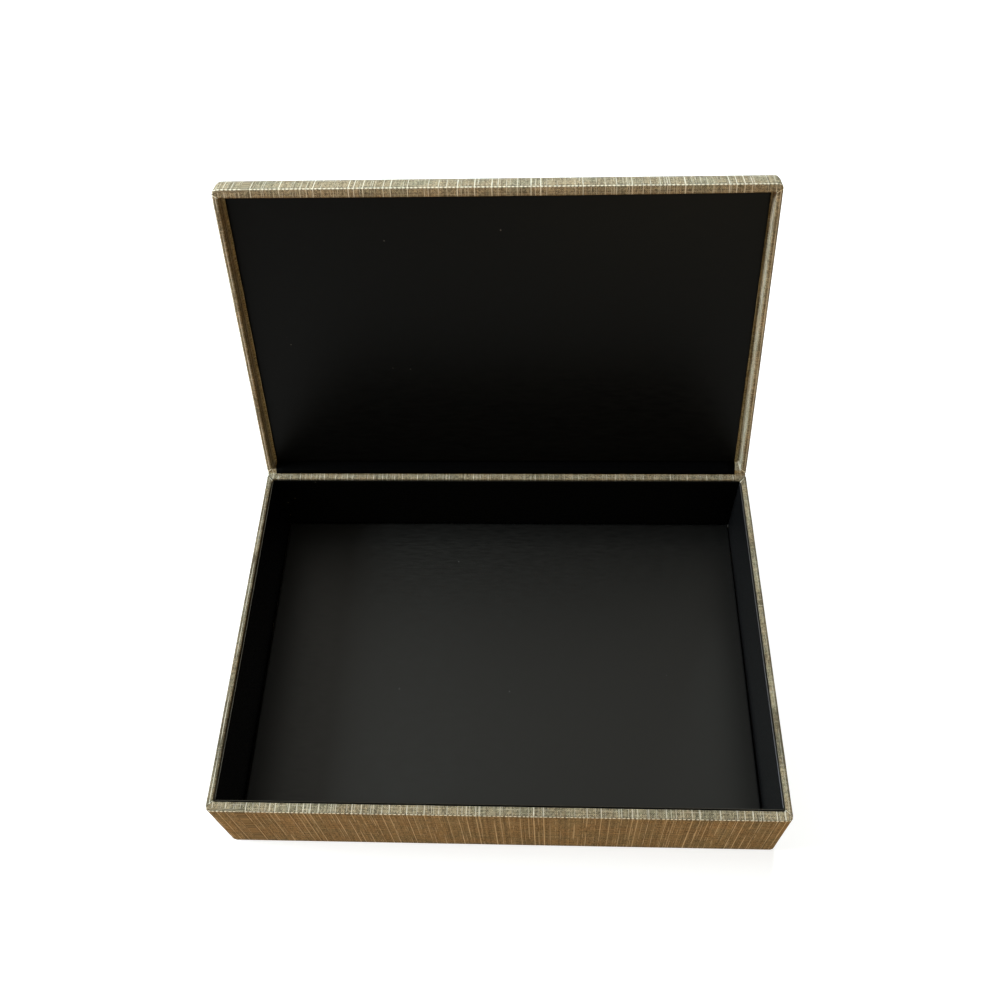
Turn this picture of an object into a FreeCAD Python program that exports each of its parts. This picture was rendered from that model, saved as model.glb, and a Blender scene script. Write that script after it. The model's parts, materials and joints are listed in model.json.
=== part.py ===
"""Hinged-lid presentation box: greyboard trays wrapped in slub bookcloth and lined in black card.

Millimetres. The origin is the centre of the bottom face, +X runs along the width,
the front faces -Y and +Z is up. The lid is modelled shut, in place on the tray, and
then swung back about the hinge to its open rest.
"""
import FreeCAD
import Part

import math
import os

from FreeCAD import Vector

# ---- overall sizes, measured over the cloth
box_width = 300.0
box_depth = 200.0
base_height = 60.0
lid_height = 10.8
open_angle = 107.0  # degrees the lid has swung back from shut

# ---- sheet stock
cloth = 0.35  # bookcloth
base_board = 2.5  # greyboard of the base tray
base_ply = 1.7  # second board behind the base's front wall
lid_board = 2.5  # greyboard of the lid's walls
lid_panel = 2.0  # greyboard of the lid's top
lid_ply = 2.0  # second board behind the lid's front wall
liner_card = 0.7  # black card on the base's inner walls
floor_card = 1.5  # black card on the base's floor
lid_card = 1.0  # black card inside the lid
hinge_paper = 0.25  # black strip inside the hinge
stay_paper = 0.15  # gummed tape around the corners, under the cloth

# ---- how the cloth is cut and turned
turn_in = 18.0  # down the inside of the base's walls
turn_under = 15.0  # under the base's floor, around the bottom sheet
butt_gap = 0.2  # between the turned-under edge and the bottom sheet
turn_on = 12.0  # from the lid's inner walls on to its panel
base_corner_ease = 2.6  # radius sanded on the base's upright outer corners
lid_corner_ease = 3.0  # radius sanded on the lid's upright outer corners
panel_ease = 2.4  # radius sanded on the lid panel's outer edges
foot_ease = 2.3  # radius sanded on the base floor's outer edges
rim_round = 0.8  # radius of the cloth over the edges of a rim
mitre_gap = 0.2  # open line where two turned edges meet
mitre_end = 1.2  # cloth left whole outside each mitre
spine_inset = 2.4  # spine cloth, in from the side walls
spine_end = 1.0  # spine cloth, short of the lid's top and the base's bottom

# ---- linings
lining_gap = 0.5  # between a wall and its card
card_joint = 0.3  # between two cards that meet in a corner
floor_joint = 0.5  # around the floor card
liner_drop = 0.8  # top of the wall cards, below the rim
lid_card_margin = 1.3  # around the lid's card
hinge_setback = 0.2  # hinge strip, in from the rear face

# ---- hidden closure and corner tape
magnet_diameter = 6.0
magnet_thickness = 1.5
magnet_play = 0.1  # around and behind a magnet in its pocket
magnet_margin = 1.2  # board left between a magnet and the rim
magnet_pitch = 200.0
stay_leg = 18.0  # tape on each side of a corner
stay_end = 3.0  # tape, short of the rim and of the floor

# ---- hinge
rim_gap = 0.6  # between the two rims when shut

SAME_PLACE = 1e-4  # mm; nearer than this is the same place
FRONT, REAR = -1, 1  # which way along Y
FRONT_REAR = {"front": FRONT, "rear": REAR}
LEFT_RIGHT = {"left": -1, "right": 1}

# ---- places that follow
half_width = box_width / 2
half_depth = box_depth / 2
core_x = half_width - cloth  # outer faces of the boards
core_y = half_depth - cloth
base_side = cloth + base_board + cloth
base_end = {FRONT: cloth + base_board + base_ply + cloth, REAR: base_side}
lid_side = cloth + lid_board + cloth
lid_front = cloth + lid_board + lid_ply + cloth
floor_top = cloth + base_board
base_board_top = base_height - cloth
turn_in_end = base_height - turn_in
lid_rim = base_height + rim_gap
lid_top = lid_rim + lid_height
lid_board_rim = lid_rim + cloth
panel_top = lid_top - cloth
panel_bottom = panel_top - lid_panel
lid_card_top = panel_bottom - cloth
liner_x = half_width - base_side - lining_gap
liner_y = {side: half_depth - wall - lining_gap for side, wall in base_end.items()}
liner_top = base_height - liner_drop
hinge_y = half_depth + cloth / 2
hinge_z = base_height + rim_gap / 2


def box(low, high):
    """Block between two corners."""
    size = Vector(*high) - Vector(*low)
    return Part.makeBox(size.x, size.y, size.z, Vector(*low))


def centred(half_x, half_y, z_low, z_high):
    """Block centred on the upright axis."""
    return box((-half_x, -half_y, z_low), (half_x, half_y, z_high))


def room(half_x, reach, z_low, z_high):
    """Block centred across the width, that reaches to the front and to the rear by side."""
    return box((-half_x, FRONT * reach[FRONT], z_low), (half_x, REAR * reach[REAR], z_high))


def is_upright(edge):
    return abs(edge.tangentAt(edge.FirstParameter).z) > math.cos(math.radians(1))


def is_level_at(edge, height):
    return abs(edge.BoundBox.ZMin - height) + abs(edge.BoundBox.ZMax - height) < SAME_PLACE


def eased(half_x, half_y, radius, z_low, z_high):
    """Centred block with rounded upright corners."""
    block = centred(half_x, half_y, z_low, z_high)
    return block.makeFillet(radius, [edge for edge in block.Edges if is_upright(edge)])


def rounded_at(solid, radius, *heights):
    """Rounds every level edge of the solid that lies at one of the heights."""
    edges = [edge for edge in solid.Edges if any(is_level_at(edge, z) for z in heights)]
    return solid.makeFillet(radius, edges)


def swung_open(shape):
    """The lid's pieces, from shut to the open rest."""
    turned = shape.copy()
    turned.rotate(Vector(0, hinge_y, hinge_z), Vector(1, 0, 0), -open_angle)
    return turned


# ---------------------------------------------------------------- base tray boards
def base_core(z_low, z_high):
    """All that the base's boards may fill between two heights: the tray's block, less its cloth."""
    core = eased(core_x, core_y, base_corner_ease, cloth, base_board_top)
    core = rounded_at(core, foot_ease, cloth)
    return core.common(centred(half_width, half_depth, z_low, z_high))


def base_floor_board():
    return base_core(cloth, floor_top)


def base_end_board(side):
    """Front (-1) or rear (+1) wall board, the full width, on the floor board."""
    outer, inner = side * half_depth, side * (core_y - base_board)
    low = (-half_width, min(outer, inner), floor_top)
    high = (half_width, max(outer, inner), base_board_top)
    return box(low, high).common(base_core(floor_top, base_board_top))


def base_front_ply():
    """Second board inside the front one, between the side walls."""
    reach = core_x - base_board
    front = -(core_y - base_board)
    return box((-reach, front, floor_top), (reach, front + base_ply, base_board_top))


def base_side_board(side):
    """Left (-1) or right (+1) wall board, between the front and rear boards."""
    outer, inner = side * core_x, side * (core_x - base_board)
    reach = core_y - base_board
    slab = box((min(outer, inner), -reach, floor_top), (max(outer, inner), reach, base_board_top))
    return slab.common(base_core(floor_top, base_board_top))


# ---------------------------------------------------------------- lid boards, shut
def lid_core(z_low, z_high):
    core = eased(core_x, core_y, lid_corner_ease, lid_board_rim, panel_top)
    core = rounded_at(core, panel_ease, panel_top)
    return core.common(centred(half_width, half_depth, z_low, z_high))


def lid_panel_board():
    return lid_core(panel_bottom, panel_top)


def lid_end_board(side):
    outer, inner = side * half_depth, side * (core_y - lid_board)
    low = (-half_width, min(outer, inner), lid_board_rim)
    high = (half_width, max(outer, inner), panel_bottom)
    return box(low, high).common(lid_core(lid_board_rim, panel_bottom))


def lid_front_ply():
    reach = core_x - lid_board
    front = -(core_y - lid_board)
    return box((-reach, front, lid_board_rim), (reach, front + lid_ply, panel_bottom))


def lid_side_board(side):
    outer, inner = side * core_x, side * (core_x - lid_board)
    reach = core_y - lid_board
    slab = box((min(outer, inner), -reach, lid_board_rim), (max(outer, inner), reach, panel_bottom))
    return slab.common(lid_core(lid_board_rim, panel_bottom))


# ---------------------------------------------------------------- magnets
def magnet_discs(front_face, height, play=0.0):
    """A row of discs that lie against the plane y = front_face, axes along +Y."""
    radius, depth = magnet_diameter / 2 + play, magnet_thickness + play
    discs = []
    for x in (-magnet_pitch / 2, magnet_pitch / 2):
        start = Vector(x, front_face, height)
        discs.append(Part.makeCylinder(radius, depth, start, Vector(0, 1, 0)))
    return Part.makeCompound(discs)


def base_magnet_place():
    return -(core_y - base_board), base_board_top - magnet_margin - magnet_diameter / 2


def lid_magnet_place():
    return -(core_y - lid_board), lid_board_rim + magnet_margin + magnet_diameter / 2


# ---------------------------------------------------------------- corner tape
def corner_stays(ease, z_low, z_high):
    """Tape folded around each upright corner of the boards, on their outside."""
    outside = eased(core_x + stay_paper, core_y + stay_paper, ease + stay_paper, z_low, z_high)
    ring = outside.cut(eased(core_x, core_y, ease, z_low, z_high))
    stays = []
    for side_x in LEFT_RIGHT.values():
        for side_y in FRONT_REAR.values():
            near = Vector(side_x * (core_x - stay_leg), side_y * (core_y - stay_leg), 0)
            far = Vector(side_x * half_width, side_y * half_depth, 0)
            low = (min(near.x, far.x), min(near.y, far.y), z_low)
            high = (max(near.x, far.x), max(near.y, far.y), z_high)
            stays.append(ring.common(box(low, high)).Solids[0])
    return Part.makeCompound(stays)


# ---------------------------------------------------------------- cloth
def mitres(wall_x, wall_y, z_low, z_high):
    """Thin upright blades along the line from each inner rim corner towards the outer one."""
    blades = []
    for side_x in LEFT_RIGHT.values():
        for side_y, wall in wall_y.items():
            length = math.hypot(wall_x, wall) - mitre_end
            blade = box((-mitre_end, -mitre_gap / 2, z_low), (length, mitre_gap / 2, z_high))
            turn = math.degrees(math.atan2(side_y * wall, side_x * wall_x))
            blade.rotate(Vector(0, 0, 0), Vector(0, 0, 1), turn)
            blade.translate(Vector(side_x * (half_width - wall_x), side_y * (half_depth - wall), 0))
            blades.append(blade)
    return Part.makeCompound(blades)


def fold_radius():
    """Radius of the cloth over an edge, which can't reach the board's corner under it."""
    reach = cloth / (1 - math.sqrt(0.5))
    return min(rim_round, reach * (1 - mitre_gap))


def base_cloth(boards, stays):
    """One wrap around the base's four walls: from under the floor, up, over the rim and in."""
    wrap = eased(half_width, half_depth, base_corner_ease + cloth, 0, base_height)
    wrap = rounded_at(wrap, foot_ease + cloth, 0)
    inner_y = {side: half_depth - wall for side, wall in base_end.items()}
    wrap = wrap.cut(room(half_width - base_side, inner_y, turn_in_end, base_height + cloth))
    wrap = rounded_at(wrap, fold_radius(), base_height)
    wrap = wrap.cut(base_core(cloth, turn_in_end))
    wrap = wrap.cut(centred(half_width - turn_under, half_depth - turn_under, -cloth, cloth))
    wrap = wrap.cut(mitres(base_side, base_end, turn_in_end, base_height + cloth))
    return wrap.cut([*boards, stays])


def lid_cloth(boards, stays):
    """One sheet over the lid's top, down its walls, over the rim, up inside and on to the panel."""
    inner_y = (-(half_depth - lid_front), half_depth - lid_side)
    inner_x = half_width - lid_side
    wrap = eased(half_width, half_depth, lid_corner_ease + cloth, lid_rim, lid_top)
    wrap = rounded_at(wrap, panel_ease + cloth, lid_top)
    hollow = box((-inner_x, inner_y[0], lid_rim - cloth), (inner_x, inner_y[1], lid_card_top))
    wrap = rounded_at(wrap.cut(hollow), fold_radius(), lid_rim)
    bare_x, bare_y = inner_x - turn_on, (inner_y[0] + turn_on, inner_y[1] - turn_on)
    wrap = wrap.cut(box((-bare_x, bare_y[0], lid_card_top - cloth), (bare_x, bare_y[1], panel_bottom)))
    return wrap.cut([*boards, stays])


def base_bottom_sheet():
    """The middle of the wrap, flush with the edges turned under."""
    inset = turn_under + butt_gap
    return centred(half_width - inset, half_depth - inset, 0, cloth)


# ---------------------------------------------------------------- linings
def base_end_liner(side):
    outer, inner = side * liner_y[side], side * (liner_y[side] - liner_card)
    return box((-liner_x, min(outer, inner), floor_top), (liner_x, max(outer, inner), liner_top))


def base_side_liner(side):
    outer, inner = side * liner_x, side * (liner_x - liner_card)
    front, rear = (side_y * (place - liner_card - card_joint) for side_y, place in liner_y.items())
    return box((min(outer, inner), front, floor_top), (max(outer, inner), rear, liner_top))


def base_floor_lining():
    reach_y = {side: place - liner_card - floor_joint for side, place in liner_y.items()}
    return room(liner_x - liner_card - floor_joint, reach_y, floor_top, floor_top + floor_card)


def lid_panel_lining():
    reach = half_width - lid_side - lid_card_margin
    front = -(half_depth - lid_front - lid_card_margin)
    rear = half_depth - lid_side - hinge_paper - card_joint
    return box((-reach, front, lid_card_top - lid_card), (reach, rear, lid_card_top))


# ---------------------------------------------------------------- hinge
def spine_cloth():
    """Cloth over both rear faces in one sheet, creased along the hinge line."""
    reach = half_width - spine_inset
    down = box((-reach, half_depth, spine_end), (reach, half_depth + cloth, hinge_z))
    up = box((-reach, half_depth, hinge_z), (reach, half_depth + cloth, lid_top - spine_end))
    crease = Part.makeCylinder(cloth / 2, 2 * reach, Vector(-reach, hinge_y, hinge_z), Vector(1, 0, 0))
    return down.fuse([swung_open(up), crease]).removeSplitter()


def hinge_lining():
    """Black strip up the inside of the lid's rear wall and around its rim to the crease."""
    inner_y = half_depth - lid_side
    reach = half_width - lid_side - card_joint
    wall = box((-reach, inner_y - hinge_paper, lid_rim - hinge_paper), (reach, inner_y, lid_card_top))
    rim = box((-reach, inner_y - hinge_paper, lid_rim - hinge_paper),
              (reach, half_depth - hinge_setback, lid_rim))
    return wall.fuse(rim).removeSplitter()


def build():
    """Every piece of the box by name."""
    base_pieces = {"base_floor_board": base_floor_board()}
    lid_pieces = {"lid_panel_board": lid_panel_board()}
    for name, side in FRONT_REAR.items():
        base_pieces[f"base_{name}_board"] = base_end_board(side)
        lid_pieces[f"lid_{name}_board"] = lid_end_board(side)
    for name, side in LEFT_RIGHT.items():
        base_pieces[f"base_{name}_board"] = base_side_board(side)
        lid_pieces[f"lid_{name}_board"] = lid_side_board(side)
    base_pieces["base_front_ply"] = base_front_ply()
    lid_pieces["lid_front_ply"] = lid_front_ply()

    base_stays = corner_stays(base_corner_ease, cloth + stay_end, base_board_top - stay_end)
    lid_stays = corner_stays(lid_corner_ease, lid_board_rim + stay_end, panel_top - stay_end)
    base_pieces["base_side_cloth"] = base_cloth(base_pieces.values(), base_stays)
    lid_pieces["lid_cloth"] = lid_cloth(lid_pieces.values(), lid_stays)
    base_pieces["base_corner_stays"] = base_stays
    lid_pieces["lid_corner_stays"] = lid_stays

    magnets = {"base": (base_pieces, base_magnet_place()), "lid": (lid_pieces, lid_magnet_place())}
    for tray, (pieces, place) in magnets.items():
        ply = pieces[f"{tray}_front_ply"]
        pieces[f"{tray}_front_ply"] = ply.cut(magnet_discs(*place, play=magnet_play))
        pieces[f"{tray}_magnets"] = magnet_discs(*place)

    base_pieces["base_bottom_sheet"] = base_bottom_sheet()
    for name, side in FRONT_REAR.items():
        base_pieces[f"base_{name}_liner"] = base_end_liner(side)
    for name, side in LEFT_RIGHT.items():
        base_pieces[f"base_{name}_liner"] = base_side_liner(side)
    base_pieces["base_floor_lining"] = base_floor_lining()
    base_pieces["spine_cloth"] = spine_cloth()
    lid_pieces["lid_panel_lining"] = lid_panel_lining()
    lid_pieces["hinge_lining"] = hinge_lining()
    return base_pieces | {name: swung_open(shape) for name, shape in lid_pieces.items()}


os.makedirs("parts", exist_ok=True)
for node, shape in build().items():
    shape.exportStep(f"parts/{node}.step")
    print(f"{node}: {len(shape.Solids)} solid, {shape.Volume / 1000:.2f} cm3, valid {shape.isValid()}")
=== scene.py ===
# %% [markdown]
# # A presentation box in slub bookcloth
# This lesson dresses a rigid gift box: two shallow greyboard trays, joined by a cloth hinge, wrapped in
# a khaki bookcloth with pale thick threads (slubs), and lined in black card. The boards come
# from the CAD model and are already in place. Everything that shows is cloth or card, so that is what
# we make here: real sheets with a thickness, folds, mitred corners and a weave.

# %% Load the boards
import json
import math

import bmesh
import bpy
import numpy as np
from mathutils import Matrix, Vector, noise


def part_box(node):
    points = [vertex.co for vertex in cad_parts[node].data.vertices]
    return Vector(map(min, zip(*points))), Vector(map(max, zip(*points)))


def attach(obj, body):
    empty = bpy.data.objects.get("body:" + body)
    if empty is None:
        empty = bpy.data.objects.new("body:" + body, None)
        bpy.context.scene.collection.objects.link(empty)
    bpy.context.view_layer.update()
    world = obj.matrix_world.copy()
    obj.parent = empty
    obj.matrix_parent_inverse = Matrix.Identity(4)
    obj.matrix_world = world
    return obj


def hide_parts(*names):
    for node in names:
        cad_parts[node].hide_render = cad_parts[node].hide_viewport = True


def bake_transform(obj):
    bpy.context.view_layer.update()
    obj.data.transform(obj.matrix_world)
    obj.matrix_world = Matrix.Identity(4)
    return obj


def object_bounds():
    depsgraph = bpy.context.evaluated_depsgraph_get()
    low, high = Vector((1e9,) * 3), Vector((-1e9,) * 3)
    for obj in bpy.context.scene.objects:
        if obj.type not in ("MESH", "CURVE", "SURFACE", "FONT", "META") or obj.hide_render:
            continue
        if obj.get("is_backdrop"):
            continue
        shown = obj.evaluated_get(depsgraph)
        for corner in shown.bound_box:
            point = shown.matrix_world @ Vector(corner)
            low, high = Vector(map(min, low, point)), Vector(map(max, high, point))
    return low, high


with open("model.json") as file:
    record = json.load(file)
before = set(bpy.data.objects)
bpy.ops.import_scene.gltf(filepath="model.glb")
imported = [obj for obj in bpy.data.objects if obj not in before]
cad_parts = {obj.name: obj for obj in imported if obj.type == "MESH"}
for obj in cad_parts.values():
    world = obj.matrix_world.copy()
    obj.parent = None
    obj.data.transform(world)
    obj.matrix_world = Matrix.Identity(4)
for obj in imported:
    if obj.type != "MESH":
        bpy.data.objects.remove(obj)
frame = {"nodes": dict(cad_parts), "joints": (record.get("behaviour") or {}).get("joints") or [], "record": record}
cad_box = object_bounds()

for body, members in frame["record"]["behaviour"]["bodies"].items():
    print(body, "carries", len(members), "pieces")

# %% [markdown]
# ## Sizes
# Blender works in metres, and a box maker works in millimetres, so MM turns one into the other. The
# outer sizes are read from the CAD model. The rest is sheet stock: the cloth is a third of a millimetre
# thick, and the front walls are thicker than the others because they hold a second board.

# %% Sizes of the box
MM = 0.001
base_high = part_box("base_side_cloth")[1]
half_x, half_y, rim_z = base_high.x, base_high.y, base_high.z
cloth = 0.35 * MM
side_wall = 3.2 * MM
front_wall = 4.9 * MM
lid_front_wall = 5.2 * MM
print("base", round(2 * half_x / MM), "x", round(2 * half_y / MM), "x", round(rim_z / MM), "mm")

# %% [markdown]
# ## The lid is made shut
# The lid stands open at rest, but it is far easier to shape it shut, where every face is level or
# upright. Its points are then swung back about the hinge line. The hinge's place and the opening angle
# come from the joint itself, so the cloth always agrees with the boards.

# %% Swing from shut to open
hinge = frame["joints"][0]
hinge_at = Vector(hinge["pos_m"])
open_angle = math.radians(hinge["range_deg"][1])
rim_gap = 0.6 * MM
lid_depth = 10.8 * MM
lid_rim_z = rim_z + rim_gap
lid_top_z = lid_rim_z + lid_depth
to_hinge = Matrix.Translation(hinge_at)
swing = to_hinge @ Matrix.Rotation(-open_angle, 4, "X") @ to_hinge.inverted()
print("hinge", hinge["name"], "turns", hinge["range_deg"], "degrees")

# %% [markdown]
# ## A walk around a box
# A wrapped tray is one cross-section carried around a rectangle. A cube with bevels would give the outside,
# but not the mitres, nor the way the inner fold turns a tighter corner than the outer one. So we walk
# around the rectangle ourselves: even steps along each wall, and a finer set of steps at each corner. The
# same walk is taken at every distance from the outer face, so the points line up across the wall.

# %% The walk
class Walk:
    """Stations around a rectangle, from the front wall's left end, counter-clockwise from above."""

    def __init__(self, reach_x, reach_y, step, corner):
        self.reach_x, self.reach_y = reach_x, reach_y
        self.xs = np.linspace(-reach_x, reach_x, round(2 * reach_x / step) + 1)
        self.ys = np.linspace(-reach_y, reach_y, round(2 * reach_y / step) + 1)
        self.corner = np.array(corner)

    def quarter(self, wide, deep, radius, shares):
        """One corner: straight on along the end wall, around the arc, and on along the side wall."""
        before, turn, after = (np.clip(shares * 3 - k, 0, 1) for k in range(3))
        angle = turn * math.pi / 2
        x = self.reach_x + (wide - radius - self.reach_x) * before + radius * np.sin(angle)
        y = deep - radius + radius * np.cos(angle) - (deep - radius - self.reach_y) * after
        return np.stack([x, y], 1)

    def ring(self, wide, front, rear, radius, rear_radius=None, shares=None):
        """All stations of a rectangle: half width, distance to the front, to the rear, corner radii."""
        shares = self.corner if shares is None else shares
        near = self.quarter(wide, front, radius, shares)
        far = self.quarter(wide, rear, radius if rear_radius is None else rear_radius, shares)
        level = np.ones_like
        parts = [np.stack([self.xs, -front * level(self.xs)], 1), near * (1, -1),
                 np.stack([wide * level(self.ys), self.ys], 1), far[::-1],
                 np.stack([self.xs[::-1], rear * level(self.xs)], 1), far * (-1, 1),
                 np.stack([-wide * level(self.ys), self.ys[::-1]], 1), near[::-1] * (-1, -1)]
        return np.concatenate(parts)

    def panels(self, seam):
        """For each step of the walk, the wall it belongs to: 0 front, 1 right, 2 rear, 3 left."""
        before = int(np.sum(self.corner < seam)) + 1
        after = len(self.corner) + 1 - before
        end, side = len(self.xs) - 1, len(self.ys) - 1
        runs = [(0, end + before), (1, after + side + after), (2, before + end + before),
                (3, after + side + after), (0, before)]
        return np.concatenate([np.full(count, wall) for wall, count in runs])

# %% [markdown]
# ## Where the mitres lie
# At each upright corner the cloth of the front or rear wall wraps the corner, and the side wall's cloth is
# folded over it and mitred across the rim. So the seam runs from the side end of the rounded corner to the
# inner corner of the rim. Steps are a tenth of a millimetre apart there, because the folded edge has to
# stand up as a real ridge that catches light.

# %% Corner steps
seam_share = 0.645
corner_steps = [0.08, 0.16, 0.23, 0.28, 0.31, 0.3333, 0.375, 0.417, 0.458, 0.5, 0.54, 0.575, 0.605,
                0.625, 0.637, 0.645, 0.653, 0.6667, 0.671, 0.677, 0.683, 0.69, 0.70, 0.71, 0.72,
                0.735, 0.76, 0.80, 0.85, 0.92]
inner_knots = [0, 1 / 3, seam_share, 0.74, 1]
inner_shares = [0, 1 / 3, 0.5, 2 / 3, 1]
corner_reach, wall_step = 20 * MM, 4 * MM
walk = Walk(half_x - corner_reach, half_y - corner_reach, wall_step, corner_steps)
tight_corner = np.interp(walk.corner, inner_knots, inner_shares)
print("stations around a tray:", len(walk.panels(seam_share)))


def walked(line):
    """Distance along a line of points, at each of them."""
    steps = np.linalg.norm(np.diff(line, axis=0), axis=1)
    return np.concatenate([[0], np.cumsum(steps)])


def from_seam(ring):
    """Distance from the nearest mitre at each station, positive on the side wall."""
    along = walked(ring)
    total = along[-1] + np.linalg.norm(ring[0] - ring[-1])
    wall = walk.panels(seam_share)
    found = np.full(len(ring), 1.0)
    for station in np.flatnonzero(wall != np.roll(wall, 1)):
        gap = (along - along[station] + total / 2) % total - total / 2
        gap = gap if wall[station] % 2 else -gap
        found = np.where(np.abs(gap) < np.abs(found), gap, found)
    return found


# %% [markdown]
# ## The cross-section of a wrapped wall
# The cloth starts under the floor, turns up the wall, over the rim and down inside. Each point of the
# cross-section says how far it is in from the outer face, how far it is out from the inner face, how far
# across the rim it lies, and its height. Folds are arcs: board edges are crisp, but cloth rounds them to
# almost a millimetre. Upright corners are arcs as well, and each tray's two front ones have a radius of
# their own and its two rear ones another, on the outside and again on the inside.

# %% Points of a cross-section
fold_radius = 0.8 * MM
sharpest_corner = 0.3 * MM
turn_on = 12 * MM


def bend(centre, radius, start, stop, count):
    """Points of an arc as (inset, height) pairs, by the angle from straight down."""
    angles = np.radians(np.linspace(start, stop, count))
    return [(centre[0] + radius * math.sin(a), centre[1] - radius * math.cos(a)) for a in angles]


class Section:
    """A cross-section's points, in order, with the marks that the folds and seams need."""

    def __init__(self):
        self.points = []

    def outer(self, inset, height, style="wall", lift=1.0, fold=0.0):
        self.points.append((inset, 0.0, 0.0, height, style, lift, fold))

    def inner(self, offset, height, style="rim", lift=1.0, across=1.0, fold=0.0):
        self.points.append((fold_radius, offset, across, height, style, lift, fold))


def rings_of(section, corners, wall_front, inner_radii, front_bow=0.0):
    """The section carried around the walk: an array of section points by stations by xyz."""
    rings = []
    for inset, offset, across, height, *_ in section.points:
        radii = [max(radius - inset, 0.0) for radius in corners]
        out = walk.ring(half_x - inset, half_y - inset, half_y - inset, *radii)
        tight = [max(radius + offset, sharpest_corner) for radius in inner_radii]
        within = walk.ring(half_x - side_wall + offset, half_y - wall_front + offset,
                           half_y - side_wall + offset, *tight, shares=tight_corner)
        bulge = np.maximum(1 - (within[:, 0] / (half_x - side_wall)) ** 2, 0)
        near_front = within[:, 1] < wall_front + turn_on + MM - half_y
        within[:, 1] += front_bow * bulge * near_front
        flat = out * (1 - across) + within * across
        rings.append(np.column_stack([flat, np.full(len(flat), height)]))
    return np.array(rings)

# %% [markdown]
# ## From rings to a sheet
# The rings are joined into one closed skin. Each corner of each face also gets its place in the flat
# cloth, in metres: threads across one way and along the other. That is a UV map, and it is what lets the
# weave run up a wall, bend over the rim and stop at a mitre, as it does on cloth cut in one cross-shaped
# piece.

# %% Places in the flat cloth
def cloth_places(rings, section, outside):
    """(across, along) of every ring point for each of the four walls, in metres of flat cloth."""
    wall = walk.panels(seam_share)
    along_edge = walked(outside)
    count = len(outside)
    styles = [point[4] for point in section.points]
    is_wall = np.array([style == "wall" for style in styles])[:, None]
    is_plain = np.array([style == "plain" for style in styles])[:, None]
    centres = {0: (0, -half_y), 1: (half_x, 0), 2: (0, half_y), 3: (-half_x, 0)}
    middles = {side: int(np.argmin(np.hypot(*(outside - centre).T))) for side, centre in centres.items()}
    places = {}
    for side, middle in middles.items():
        line = rings[:, middle]
        travelled = walked(line)
        axis = 1 if side % 2 == 0 else 0
        sign = np.sign(outside[middle, axis])
        down = sign * (abs(line[0, axis]) + travelled)[:, None] * np.ones(count)
        turn = 1 if side in (0, 1) else -1
        gap = (along_edge - along_edge[middle] + along_edge[-1] / 2) % along_edge[-1] - along_edge[-1] / 2
        edge = turn * gap[None, :] * np.ones((len(rings), 1)) + outside[middle, 1 - axis]
        beside = np.where(is_wall, edge, rings[:, :, 1 - axis])
        pair = [beside, down] if axis == 1 else [down, beside]
        pair = [np.where(is_plain, rings[:, :, k], pair[k]) for k in (0, 1)]
        places[side] = np.stack(pair, 2)
    return places, wall

# %% [markdown]
# ## Building the mesh
# One function turns points, faces and cloth places into a mesh. Doubled points are merged and the faces
# are turned outward. Marks stay on the mesh for the finish to read: "fold" is high on the crest of a fold,
# where the finish paints pale wear and a painted highlight, and below zero in a crease, where it paints
# shade; "edge" is the distance along the wall in metres; "seam" does for a mitre what "fold" does for a
# fold; and "rim" is set on the rims, which are darker in patches.

# %% Mesh from points and faces
same_spot = 0.002 * MM


def put_in_scene(name, data):
    """An object that shows a mesh, or holds a lamp or camera, linked to the scene."""
    thing = bpy.data.objects.new(name, data)
    bpy.context.scene.collection.objects.link(thing)
    return thing


def new_piece(name, points, faces, marks=None, places=None):
    """A mesh object from points and faces, with float marks per point and cloth places per corner."""
    mesh = bpy.data.meshes.new(name)
    mesh.from_pydata([tuple(p) for p in points], [], faces)
    for mark, values in (marks or {}).items():
        layer = mesh.attributes.new(mark, "FLOAT", "POINT")
        layer.data.foreach_set("value", np.ravel(values).astype(np.float32))
    if places is not None:
        mesh.uv_layers.new(name="weave").data.foreach_set("uv", np.ravel(places).astype(np.float32))
    shape = bmesh.new()
    shape.from_mesh(mesh)
    bmesh.ops.remove_doubles(shape, verts=shape.verts, dist=same_spot)
    bmesh.ops.recalc_face_normals(shape, faces=shape.faces)
    for face in shape.faces:
        face.smooth = True
    shape.to_mesh(mesh)
    shape.free()
    print(name, "has", len(mesh.polygons), "faces")
    return put_in_scene(name, mesh)


def quads(rows, columns, closed_rows):
    """Index quads over a grid that closes on itself across its columns, and down its rows if asked."""
    down = range(rows if closed_rows else rows - 1)
    return [(j * columns + i, j * columns + (i + 1) % columns,
             (j + 1) % rows * columns + (i + 1) % columns, (j + 1) % rows * columns + i)
            for j in down for i in range(columns)]


def grid_quads(start, wide, deep):
    """Index quads over an open grid of wide by deep points whose numbers begin at start."""
    firsts = [start + j * wide + i for j in range(deep - 1) for i in range(wide - 1)]
    return [(first, first + 1, first + wide + 1, first + wide) for first in firsts]
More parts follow.
